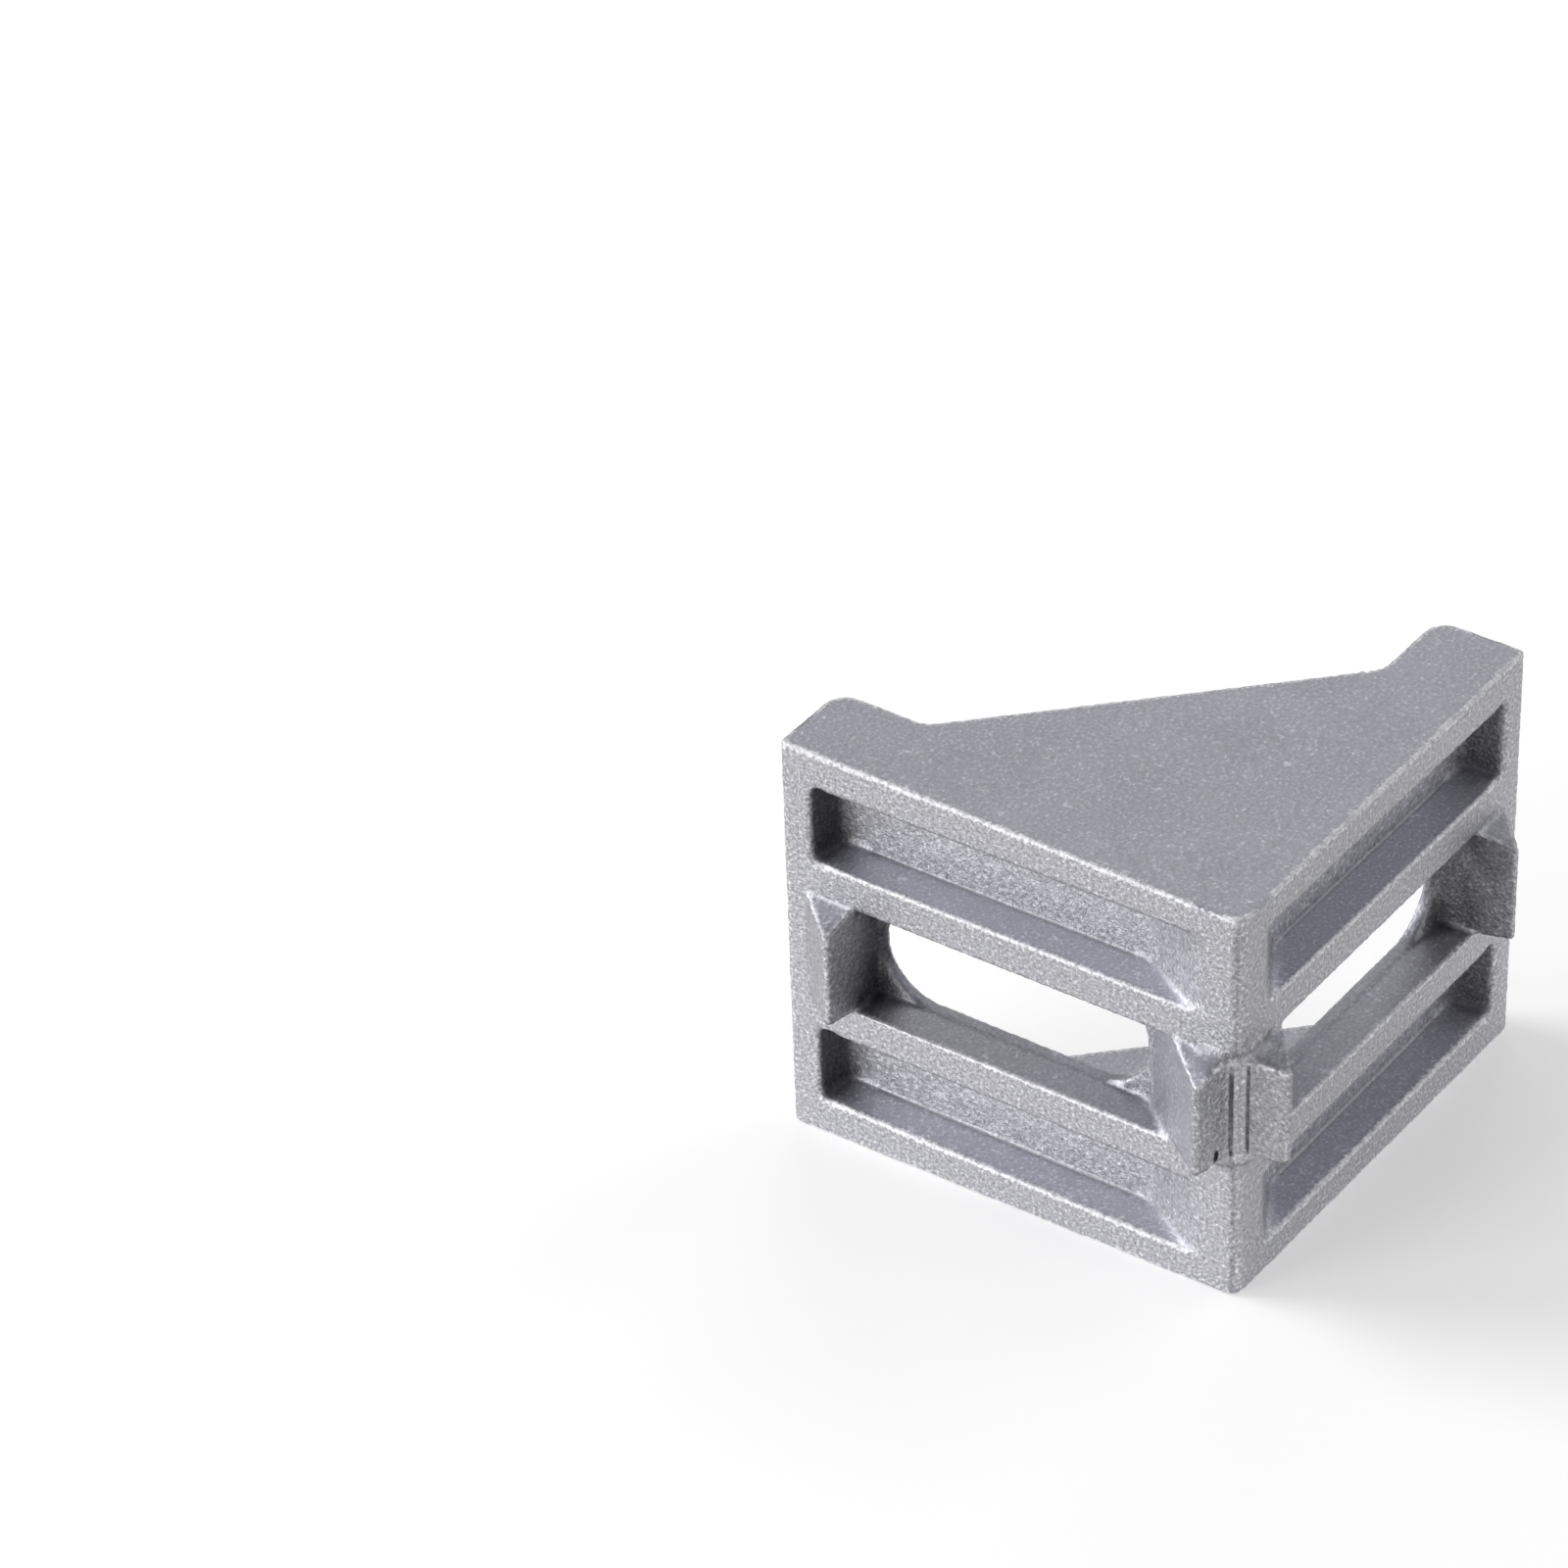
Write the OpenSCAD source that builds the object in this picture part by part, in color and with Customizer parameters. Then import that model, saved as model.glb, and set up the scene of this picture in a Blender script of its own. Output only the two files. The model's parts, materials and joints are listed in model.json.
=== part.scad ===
// Die-cast corner bracket that joins two slotted framing profiles at a right angle.
// The origin is the heel: the line where both mounting planes meet, at mid-width.
// One leg runs along +X with its mounting face on y = 0, the other along +Y with its face on x = 0.
// Z is the width. The bracket lies on one gusset, as it does on a bench.

/* [Legs] */
// Length of each leg, from the heel to the tip
leg_l = 40; // [34:0.5:60]
// Thickness of each leg, from the mounting face to the inner face
leg_t = 4.3; // [4:0.1:5.4]
// Radius along the heel, where the two mounting faces meet
heel_r = 1; // [0.4:0.1:1.4]
// Radius of the edge between a mounting face and the end of its leg
tip_r = 0.5; // [0.2:0.1:1]

/* [Gussets] */
// Width over both gussets at the tips
body_w = 35.4; // [32:0.2:46]
// Thickness of each gusset
gusset_t = 2.9; // [2:0.1:4]
// Draft of the gusset faces, opening away from the heel
draft_deg = 1.25; // [0.5:0.25:3]
// Height of a gusset at the tip of a leg
shoulder_h = 7.7; // [6:0.1:10]
// Length of the shoulder, from the tip to the start of the slanting edge
shoulder_l = 7.8; // [6:0.1:10]
// Radius of the shoulder's outer corner
shoulder_r = 1.8; // [0.5:0.1:2.6]
// Radius in the notch between the shoulder and the slanting edge
notch_r = 2.2; // [0.5:0.1:4]

/* [Hollows in the mounting faces] */
// Width of the middle channel, which holds the screw slot
channel_w = 9.5; // [8.6:0.1:12]
// Depth of the middle channel
channel_d = 3.2; // [2.4:0.1:3.4]
// Width of the ribs on each side of the middle channel
rib_w = 3.05; // [2:0.05:4]
// Width of the outer rim at the tips
rim_w = 3.2; // [2:0.1:4]
// Width of the rim across the end of each side pocket
end_rim = 2.6; // [1.6:0.1:4]
// Depth of the side pockets
pocket_d = 3.45; // [2.4:0.05:3.6]
// Corner radius of the side pockets
pocket_r = 0.9; // [0.4:0.1:1.6]
// How far the end wall of a side pocket leans in from its mouth to its floor
pocket_lean = 0.45; // [0.1:0.05:0.8]
// Distance from the heel to the start of the side pockets
pocket_start = 2.3; // [1.6:0.1:4]
// Slope of the ramp that brings a side pocket's floor up towards the heel
ramp_deg = 29.5; // [24:0.5:42]
// Radius that eases the ramp into the mounting face
ramp_r = 4; // [2:0.5:9]
// Radius at the foot of a side pocket's ramp, where it runs into the floor
foot_r = 3; // [1:0.5:5]
// Radius at the foot of the slope in the middle channel
channel_foot_r = 2.5; // [1:0.5:4]

/* [Screw slots] */
// Width of each screw slot
slot_w = 9.3; // [6.6:0.1:9.4]
// Length of each screw slot, over its round ends
slot_l = 23.6; // [14:0.2:24]
// Distance from the heel to the near end of each screw slot
slot_start = 9.8; // [9.6:0.1:12]
// Step between the end of the slot and the ends of the channel
slot_step = 0.4; // [0.3:0.1:1]

/* [Guide keys] */
// Width of each guide key along its ridge
key_w = 8.1; // [6:0.1:8.6]
// Height of the guide keys above the mounting face
key_h = 3.3; // [2:0.1:4]
// Length of the tip key along the leg, at its root
tip_key_l = 4.2; // [3.8:0.1:5]
// Flat left on the ridge of each key
ridge_flat = 0.4; // [0.2:0.1:0.6]
// Distance from the heel to the root of the heel key
heel_key_start = 0.95; // [0.8:0.05:1.2]
// Distance from the heel to the ridge of the heel key
heel_ridge = 1.5; // [1.3:0.1:1.8]
// Width of the relief groove between the heel key and the heel
groove_w = 0.35; // [0.2:0.05:0.35]
// Depth of the relief groove below the mounting face
groove_d = 0.4; // [0.2:0.05:0.4]

/* [Hidden] */
$fn = 64;
// overshoot that keeps cutters clear of the faces they open
over = 1;
// how far a key's root is sunk into the leg so that the two fuse
root = 0.5;
// number of straight steps in each curve that eases a slope
ease_steps = 6;

draft_slope = tan(draft_deg);
// distance from the heel to the line through both tips, measured square to it
tip_reach = leg_l / sqrt(2);
far = leg_l + 2 * over;

channel_tip = slot_start + slot_l + slot_step;
channel_heel = slot_start - slot_step;
pocket_in = channel_w / 2 + rib_w;
pocket_out = body_w / 2 - rim_w;
pocket_end = leg_l - end_rim;

// the channel's heel ramp is one straight slope from the channel floor to the ridge of the heel key
ramp_top = heel_ridge + ridge_flat;
ramp_run = (channel_heel - ramp_top) / (channel_d + key_h);
channel_deg = atan2(1, ramp_run);
function channel_ramp_x(depth) = ramp_top + (key_h + depth) * ramp_run;

// points of the curve that eases a slope of deg degrees into a floor at depth, where it would meet it at x
function foot_points(x, depth, deg, r) = [for (i = [ease_steps : -1 : 0])
    let (a = deg * i / ease_steps)
    [x + r * tan(deg / 2) - r * sin(a), depth - r + r * cos(a)]];

// the pocket's ramp meets the mounting face in an arc that starts at pocket_start
ease_l = ramp_r * tan(ramp_deg / 2);
ease_points = [for (i = [0 : ease_steps])
    let (a = ramp_deg * i / ease_steps)
    [pocket_start + ramp_r * sin(a), ramp_r * (1 - cos(a))]];
pocket_floor_start = pocket_start + ease_l + pocket_d / tan(ramp_deg);

// Both legs carry the same features, mirrored in the plane x = y.
module both_legs() {
    children();
    mirror([1, -1, 0]) children();
}

// Both halves of the width carry the same features.
module both_sides() {
    children();
    mirror([0, 0, 1]) children();
}

// Square corner with a rounded end: what is left outside an arc of radius r about the origin.
module corner_trim(r) {
    difference() {
        square(r + over);
        circle(r);
    }
}

// Fill of the notch at the foot of the slanting edge, hollowed to its radius.
module notch_fill() {
    reach = notch_r * tan(22.5);
    difference() {
        polygon([
            [-over, -over],
            [reach, -over],
            [reach, notch_r],
            [-reach * cos(45), reach * sin(45)]
        ]);
        translate([reach, notch_r]) circle(notch_r);
    }
}

// Outline of a gusset in the plane of the two legs.
module gusset_outline() {
    difference() {
        union() {
            polygon([
                [0, 0],
                [leg_l, 0],
                [leg_l, shoulder_h],
                [leg_l - shoulder_l, shoulder_h],
                [shoulder_h, leg_l - shoulder_l],
                [shoulder_h, leg_l],
                [0, leg_l]
            ]);
            translate([leg_l - shoulder_l, shoulder_h]) notch_fill();
            mirror([1, -1, 0]) translate([leg_l - shoulder_l, shoulder_h]) notch_fill();
        }
        translate([leg_l - shoulder_r, shoulder_h - shoulder_r]) corner_trim(shoulder_r);
        mirror([1, -1, 0])
            translate([leg_l - shoulder_r, shoulder_h - shoulder_r]) corner_trim(shoulder_r);
        translate([leg_l - tip_r, tip_r]) rotate(-90) corner_trim(tip_r);
        mirror([1, -1, 0]) translate([leg_l - tip_r, tip_r]) rotate(-90) corner_trim(tip_r);
        translate([heel_r, heel_r]) rotate(180) corner_trim(heel_r);
    }
}

// Wedge that widens away from the heel by the draft. Its width at the tips is width.
module drafted_wedge(width) {
    near_half = width / 2 - (tip_reach + over) * draft_slope;
    far_half = width / 2 + (leg_l + over) * draft_slope;
    rotate([0, 0, 45]) rotate([90, 0, 0])
        linear_extrude(height = 3 * leg_l, center = true)
            polygon([
                [-over, -near_half],
                [tip_reach + leg_l + over, -far_half],
                [tip_reach + leg_l + over, far_half],
                [-over, near_half]
            ]);
}

// Two legs with a gusset on each side, before anything is cut or added.
module shell() {
    difference() {
        intersection() {
            translate([0, 0, -body_w]) linear_extrude(height = 2 * body_w) gusset_outline();
            drafted_wedge(body_w);
        }
        intersection() {
            translate([leg_t, leg_t, -body_w]) cube([far, far, 2 * body_w]);
            drafted_wedge(body_w - 2 * gusset_t);
        }
    }
}

// Side pocket in the mounting face of the leg along X, on the +Z side.
module side_pocket() {
    mouth = pocket_end;
    floor_end = pocket_end - pocket_lean;
    lean_out = pocket_lean * over / pocket_d;
    intersection() {
        linear_extrude(height = body_w)
            polygon(concat(
                [[pocket_start - over, -over]],
                ease_points,
                foot_points(pocket_floor_start, pocket_d, ramp_deg, foot_r),
                [
                    [floor_end, pocket_d],
                    [mouth + lean_out, -over]
                ]
            ));
        translate([0, pocket_d + over, 0]) rotate([90, 0, 0])
            linear_extrude(height = pocket_d + 3 * over)
                rounded_rectangle(pocket_start, pocket_in, mouth + lean_out, pocket_out, pocket_r);
    }
}

// Rectangle from one corner to the other with round corners.
module rounded_rectangle(x0, y0, x1, y1, r) {
    translate([x0 + r, y0]) square([x1 - x0 - 2 * r, y1 - y0]);
    translate([x0, y0 + r]) square([x1 - x0, y1 - y0 - 2 * r]);
    for (x = [x0 + r, x1 - r], y = [y0 + r, y1 - r])
        translate([x, y]) circle(r);
}

// Middle channel in the mounting face of the leg along X, with the slope at its heel end.
module channel() {
    translate([0, 0, -channel_w / 2]) linear_extrude(height = channel_w)
        polygon(concat(
            [[channel_ramp_x(-over), -over]],
            foot_points(channel_heel, channel_d, channel_deg, channel_foot_r),
            [
                [channel_tip, channel_d],
                [channel_tip, -over]
            ]
        ));
}

// Screw slot through the web of the leg along X.
module screw_slot() {
    slot_r = slot_w / 2;
    translate([0, leg_t + over, 0]) rotate([90, 0, 0])
        linear_extrude(height = leg_t + 2 * over) {
            translate([slot_start + slot_r, -slot_r]) square([slot_l - slot_w, slot_w]);
            for (x = [slot_start + slot_r, slot_start + slot_l - slot_r])
                translate([x, 0]) circle(slot_r);
        }
}

// Narrow relief groove at the root of the heel key on the leg along X.
module relief_groove() {
    translate([heel_key_start - groove_w, -over, -key_w / 2])
        cube([groove_w, groove_d + over, key_w]);
}

// Sides of a key: full channel width at the mounting face, key_w at the ridge.
module key_flanks() {
    flare = (channel_w - key_w) / 2;
    rotate([90, 0, 90]) linear_extrude(height = leg_l)
        polygon([
            [root, channel_w / 2],
            [0, channel_w / 2],
            [-key_h - over, channel_w / 2 - flare * (key_h + over) / key_h],
            [-key_h - over, -channel_w / 2 + flare * (key_h + over) / key_h],
            [0, -channel_w / 2],
            [root, -channel_w / 2]
        ]);
}

// Key at the tip of the leg along X: square to the channel, sloped towards the tip.
module tip_key() {
    intersection() {
        translate([0, 0, -channel_w]) linear_extrude(height = 2 * channel_w)
            polygon([
                [channel_tip, 0],
                [channel_tip, -key_h],
                [channel_tip + ridge_flat, -key_h],
                [channel_tip + tip_key_l, 0],
                [channel_tip + tip_key_l, root],
                [channel_tip + ridge_flat, root]
            ]);
        key_flanks();
    }
}

// Key at the heel of the leg along X: nearly square to the face at the heel, sloped into the channel.
module heel_key() {
    intersection() {
        translate([0, 0, -channel_w]) linear_extrude(height = 2 * channel_w)
            polygon([
                [heel_key_start, root],
                [heel_key_start, 0],
                [heel_ridge, -key_h],
                [ramp_top, -key_h],
                [channel_ramp_x(0), 0],
                [channel_ramp_x(0), root]
            ]);
        key_flanks();
    }
}

module bracket() {
    color([0.62, 0.62, 0.64]) difference() {
        union() {
            difference() {
                shell();
                both_legs() {
                    both_sides() side_pocket();
                    channel();
                    screw_slot();
                }
            }
            both_legs() {
                tip_key();
                heel_key();
            }
        }
        both_legs() relief_groove();
    }
}

bracket();
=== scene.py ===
"""Looks of a die-cast corner bracket for slotted framing: a Blender add-on that is run as a script."""

import json
import math
from collections import namedtuple

import bpy
import numpy as np
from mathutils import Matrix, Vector, noise

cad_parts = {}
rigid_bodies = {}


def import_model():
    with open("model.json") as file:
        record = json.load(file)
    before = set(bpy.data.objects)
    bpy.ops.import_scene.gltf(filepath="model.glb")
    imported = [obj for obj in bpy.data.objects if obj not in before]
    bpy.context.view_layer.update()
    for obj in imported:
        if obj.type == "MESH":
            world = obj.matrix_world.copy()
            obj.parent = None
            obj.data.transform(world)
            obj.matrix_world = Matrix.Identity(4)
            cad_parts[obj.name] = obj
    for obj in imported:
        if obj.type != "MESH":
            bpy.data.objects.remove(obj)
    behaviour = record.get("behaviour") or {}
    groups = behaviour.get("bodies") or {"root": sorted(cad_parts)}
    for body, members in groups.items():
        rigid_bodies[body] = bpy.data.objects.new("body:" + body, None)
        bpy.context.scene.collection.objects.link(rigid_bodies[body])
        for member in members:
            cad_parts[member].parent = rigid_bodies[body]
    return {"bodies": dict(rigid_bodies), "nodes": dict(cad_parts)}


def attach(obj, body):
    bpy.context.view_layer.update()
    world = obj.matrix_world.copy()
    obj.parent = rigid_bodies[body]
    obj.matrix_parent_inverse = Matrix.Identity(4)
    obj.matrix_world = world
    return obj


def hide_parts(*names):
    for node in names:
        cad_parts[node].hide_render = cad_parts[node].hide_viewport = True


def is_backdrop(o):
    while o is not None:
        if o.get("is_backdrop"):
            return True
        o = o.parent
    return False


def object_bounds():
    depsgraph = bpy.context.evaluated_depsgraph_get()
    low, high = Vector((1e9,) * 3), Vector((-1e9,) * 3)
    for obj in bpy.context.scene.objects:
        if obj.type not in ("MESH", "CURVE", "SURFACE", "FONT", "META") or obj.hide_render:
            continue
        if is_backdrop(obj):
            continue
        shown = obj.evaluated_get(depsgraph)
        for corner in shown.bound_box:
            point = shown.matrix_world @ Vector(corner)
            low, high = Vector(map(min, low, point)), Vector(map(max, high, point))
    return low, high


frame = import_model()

bl_info = {
    "name": "Cast corner bracket",
    "version": (1, 0, 0),
    "blender": (4, 5, 0),
    "location": "View3D > Sidebar > Bracket",
    "description": "Builds the cast skin of a corner bracket, its blasted finish and a small studio",
    "category": "Add Mesh",
}

CAD_NODE = "bracket"
PIECE = "cast_bracket"
BODY = next(iter(frame["bodies"]))
CAD_LOW, CAD_HIGH = (Vector(corner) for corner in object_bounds())
MM = 0.001

# The casting's sizes, as in the part's source.
LEG_LENGTH = CAD_HIGH.x
BODY_WIDTH = 35.4 * MM
GUSSET_DRAFT = math.radians(1.25)
CHANNEL_WIDTH = 9.5 * MM
RIB_WIDTH = 3.05 * MM
RIM_WIDTH = 3.2 * MM
END_RIM = 2.6 * MM
SLOT_START = 9.8 * MM
SLOT_LENGTH = 23.6 * MM
SLOT_STEP = 0.4 * MM

# Where the casting's hollows lie: heights are from mid-width, ends from the heel.
CHANNEL_HALF = CHANNEL_WIDTH / 2
CHANNEL_END = SLOT_START + SLOT_LENGTH + SLOT_STEP
POCKET_IN = CHANNEL_HALF + RIB_WIDTH
POCKET_OUT = BODY_WIDTH / 2 - RIM_WIDTH
POCKET_END = LEG_LENGTH - END_RIM
# A depth between the hollows' floors and the inner faces of the legs.
HOLLOW_DEPTH = 3.8 * MM
# The hollows' ramps lie within RAMP_END of the heel. Their rounding fades out from RAMP_FADE on.
RAMP_FADE = 7 * MM
RAMP_END = 11 * MM
# The smooth slopes that run from the channels up the heel keys lie within this distance of the heel.
SLOPE_END = 9 * MM

# The guide keys: the shading of their faces and of the tip keys' walls reaches up to the first two heights
# from mid-width, and their sloping ends lie between the next two.
KEY_HALF = 4.3 * MM
KEY_WALL_HALF = 4.4 * MM
KEY_END_LOW = 3 * MM
KEY_END_HIGH = 5.2 * MM
# A line of painted shade runs along each heel key's root, at this height and up to this far from the heel.
ROOT_LINE = 5.05 * MM
ROOT_LINE_END = 4.6 * MM
# A key's wall that lies farther than this from the heel belongs to a tip key.
TIP_KEYS_FROM = 28 * MM
# The rounded heel lies within this distance of both mounting planes.
HEEL_REACH = 1.15 * MM
# The strip between the heel keys, which stays sharp, lies between these distances from both mounting planes.
STRIP_LOW = -0.2 * MM
STRIP_HIGH = 1.3 * MM
# How much of the edge rounding the keys' ends get.
KEY_END_ROUNDING = 0.35

# The line of painted shade by each leg's relief groove: where it lies along the leg and in depth. Then the
# lines' half height, and the width over which they fade in.
GROOVE_LINES = (
    ((0.56 * MM, 1.0 * MM), (-0.08 * MM, 0.6 * MM)),
    ((0.82 * MM, 1.2 * MM), (-0.36 * MM, 0.2 * MM)),
)
GROOVE_HALF = 4.1 * MM
GROOVE_FADE = 0.1 * MM

# A pore in the outer wall of one heel key, painted as a dark spot of shade: its middle and its half sizes.
PORE = (-1.18 * MM, 0.95 * MM, -3.5 * MM)
PORE_HALF = (0.30 * MM, 0.6 * MM, 0.70 * MM)

# Where the upper gusset's slanting edge is chipped, how far the chips reach, and how much more it wavers.
CHIPPED = (31 * MM, 8.2 * MM, 17.7 * MM)
CHIPPED_REACH = 0.9 * MM
CHIPPED_GAIN = 4

# How much of its wear and painted highlight an edge loses by the heel keys, where it faces the inner side
# and on the right side.
KEY_SHIELD = 0.75
INWARD_SHIELD = 0.8
RIGHT_SIDE_DIMMING = 0.1
# How much painted shade an inner corner that faces up gets, how much the skin under a lip gets, and what the
# keys' ends lose of it.
LEAST_CREASE_SHADE = 0.6
LIP_SHADE = 0.9
KEY_END_SHADE_CUT = 0.8

# A rounding's weights are kept in this many levels. A radius of one grid step takes STEPS_FOR_ONE smoothing
# steps, and they grow with the radius squared.
WEIGHT_LEVELS = 8
STEPS_FOR_ONE = 2.2

# How far a vertex has to stand out of its neighbours' ring to lie on an edge or a lip, or in it for a crease.
ON_EDGE = 0.02
ON_LIP = 0.05
IN_CREASE = -0.03
# A vertex with less of an edge's sharpness than this, from 0 to 1, doesn't waver.
LEAST_EDGE = 0.02

# The floor leans by the gussets' draft, and the lower gusset lies flush on it but for this gap.
FLOOR_GAP = 0.02 * MM
FLOOR_SIZE = 6.0

# Directions of the lights from the bracket's middle, each 1 m away.
LIGHTS = {
    "key_light": (-0.90, 0.50, 0.20),
    "top_light": (-0.25, 0.75, 0.60),
    "right_light": (0.36, -0.90, 0.30),
    "back_light": (0.66, 0.38, 0.63),
    "rim_light": (0.66, -0.32, 0.64),
}

# The camera as it was solved from the photograph, with its turn in degrees.
CAMERA_PLACE = (-0.2793099, -0.1702172, 0.2595182)
CAMERA_TURN = (54.8744, 1.85606, -54.39063)
SENSOR_WIDTH = 36.0


class CastShape(bpy.types.PropertyGroup):
    """Sizes of the cast skin."""

    grid: bpy.props.FloatProperty(
        name="Skin grid",
        description="Spacing of the grid that the casting's skin is rebuilt on",
        default=0.13 * MM, min=0.1 * MM, max=0.5 * MM, precision=5, unit="LENGTH",
    )
    edge_round: bpy.props.FloatProperty(
        name="Edge rounding",
        description="Radius that handling and blasting have worn on the outer edges",
        default=0.45 * MM, min=0, max=1 * MM, precision=5, unit="LENGTH",
    )
    ramp_fillet: bpy.props.FloatProperty(
        name="Ramp fillet",
        description="Radius of the corners between the hollows' ramps and their walls",
        default=1.4 * MM, min=0, max=3 * MM, precision=5, unit="LENGTH",
    )
    end_fillet: bpy.props.FloatProperty(
        name="End fillet",
        description="Radius of the inner corners where the hollows end at the tips",
        default=0.8 * MM, min=0, max=2 * MM, precision=5, unit="LENGTH",
    )
    end_lip: bpy.props.FloatProperty(
        name="End lip",
        description="Radius of the side pockets' lips at the tips",
        default=0.8 * MM, min=0, max=2 * MM, precision=5, unit="LENGTH",
    )
    edge_ripple: bpy.props.FloatProperty(
        name="Edge ripple",
        description="How far the worn edges waver in and out",
        default=0.05 * MM, min=0, max=0.2 * MM, precision=5, unit="LENGTH",
    )
    ripple_size: bpy.props.FloatProperty(
        name="Ripple size",
        description="Length of one waver along an edge",
        default=0.35 * MM, min=0.2 * MM, max=5 * MM, precision=5, unit="LENGTH",
    )
    triangles: bpy.props.IntProperty(
        name="Triangles",
        description="Most triangles that the finished skin has",
        default=180000, min=20000, max=195000,
    )


class CastFinish(bpy.types.PropertyGroup):
    """Colours and grain of the blasted aluminium, and the painted light and shade on it."""

    metal: bpy.props.FloatVectorProperty(
        name="Blasted metal",
        description="Colour of the mounting faces and hollows, which the blasting hits squarely",
        default=(0.465, 0.465, 0.495), min=0, max=1, size=3, subtype="COLOR",
    )
    side_metal: bpy.props.FloatVectorProperty(
        name="Side metal",
        description="Colour of the gussets and rib walls, which stay smoother and a little bluer",
        default=(0.45, 0.45, 0.50), min=0, max=1, size=3, subtype="COLOR",
    )
    # Wear and painted highlight: this bright colour goes on the worn edges, mostly where they face up.
    worn: bpy.props.FloatVectorProperty(
        name="Worn edge",
        description="Colour of the metal where handling has polished the edges",
        default=(0.80, 0.80, 0.83), min=0, max=1, size=3, subtype="COLOR",
    )
    # Painted shade: the colour of the inner corners and of the skin under the lips.
    crease: bpy.props.FloatVectorProperty(
        name="Crease",
        description="Colour of the dull metal in the inner corners and under the lips",
        default=(0.30, 0.30, 0.32), min=0, max=1, size=3, subtype="COLOR",
    )
    # Painted shade at the hollows' tip ends, in each leg.
    end_wall_painted_shade: bpy.props.FloatProperty(
        name="End wall tone",
        description="Brightness kept at the hollows' tip ends in the leg along Y",
        default=0.27, min=0, max=1, subtype="FACTOR",
    )
    other_end_wall_painted_shade: bpy.props.FloatProperty(
        name="Other end wall tone",
        description="Brightness kept at the hollows' tip ends in the leg along X",
        default=0.55, min=0, max=1, subtype="FACTOR",
    )
    # Painted light: the side pockets' lower walls and floors are painted brighter, and the channel's lower
    # wall darker.
    pocket_wall_painted_light: bpy.props.FloatProperty(
        name="Pocket wall tone",
        description="How much brighter the blasting leaves the side pockets' lower walls",
        default=1.45, min=0.5, max=2,
    )
    pocket_floor_painted_light: bpy.props.FloatProperty(
        name="Pocket floor tone",
        description="How much brighter the blasting leaves the side pockets' floors",
        default=1.09, min=0.5, max=2,
    )
    channel_wall_painted_shade: bpy.props.FloatProperty(
        name="Channel wall tone",
        description="How much of its brightness the channel's lower wall keeps",
        default=0.83, min=0.5, max=2,
    )
    # Painted shade at the foot of the tip keys' walls over the channels.
    key_wall_painted_shade: bpy.props.FloatProperty(
        name="Key wall tone",
        description="Brightness kept at the foot of the tip key's wall over the channel, in the leg along Y",
        default=0.70, min=0, max=1, subtype="FACTOR",
    )
    other_key_wall_painted_shade: bpy.props.FloatProperty(
        name="Other key wall tone",
        description="Brightness kept at the foot of the tip key's wall over the channel, in the leg along X",
        default=0.35, min=0, max=1, subtype="FACTOR",
    )
    root_shade: bpy.props.FloatProperty(
        name="Root shade",
        description="How much the dull line along the heel keys' roots darkens the skin",
        default=0.35, min=0, max=1, subtype="FACTOR",
    )
    heel_shade: bpy.props.FloatProperty(
        name="Heel shade",
        description="How much the dull line along the rounded heel darkens it",
        default=0.26, min=0, max=1, subtype="FACTOR",
    )
    groove_shade: bpy.props.FloatProperty(
        name="Groove shade",
        description="How much darker the relief grooves are",
        default=0.84, min=0, max=1, subtype="FACTOR",
    )
    # The guide keys' faces are made darker.
    key_tone: bpy.props.FloatProperty(
        name="Key tone",
        description="Brightness that the guide keys' rough faces keep",
        default=0.82, min=0, max=1, subtype="FACTOR",
    )
    # Painted light on the heel keys' upper ends.
    key_top_painted_light: bpy.props.FloatProperty(
        name="Key top tone",
        description="How much brighter the heel key's upper end is, in the leg along Y",
        default=1.6, min=0.5, max=2,
    )
    other_key_top_painted_light: bpy.props.FloatProperty(
        name="Other key top tone",
        description="How much brighter the heel key's upper end is, in the leg along X",
        default=1.2, min=0.5, max=2,
    )
    # Painted light: the upright faces are painted brighter at the bottom and darker at the top.
    lower_painted_light: bpy.props.FloatProperty(
        name="Lower gain",
        description="How much brighter the upright faces are at the bottom, and darker at the top",
        default=0.085, min=0, max=0.5, subtype="FACTOR",
    )
    roughness: bpy.props.FloatProperty(
        name="Roughness",
        description="Roughness of the blasted faces",
        default=0.50, min=0, max=1, subtype="FACTOR",
    )
    worn_roughness: bpy.props.FloatProperty(
        name="Worn roughness",
        description="Roughness of the worn edges",
        default=0.70, min=0, max=1, subtype="FACTOR",
    )
    grain_size: bpy.props.FloatProperty(
        name="Grain size",
        description="Width of one dimple of the blasting",
        default=0.30 * MM, min=0.05 * MM, max=1 * MM, precision=5, unit="LENGTH",
    )
    grain_depth: bpy.props.FloatProperty(
        name="Grain depth",
        description="Depth of the blasting's dimples",
        default=0.12 * MM, min=0, max=0.3 * MM, precision=6, unit="LENGTH",
    )
    nick_size: bpy.props.FloatProperty(
        name="Nick size",
        description="Size of the small bright nicks on the gussets",
        default=1.1 * MM, min=0.2 * MM, max=5 * MM, precision=5, unit="LENGTH",
    )
    speckle: bpy.props.FloatProperty(
        name="Speckle",
        description="How much the metal's brightness varies from dimple to dimple",
        default=1.8, min=0, max=4,
    )


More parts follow.
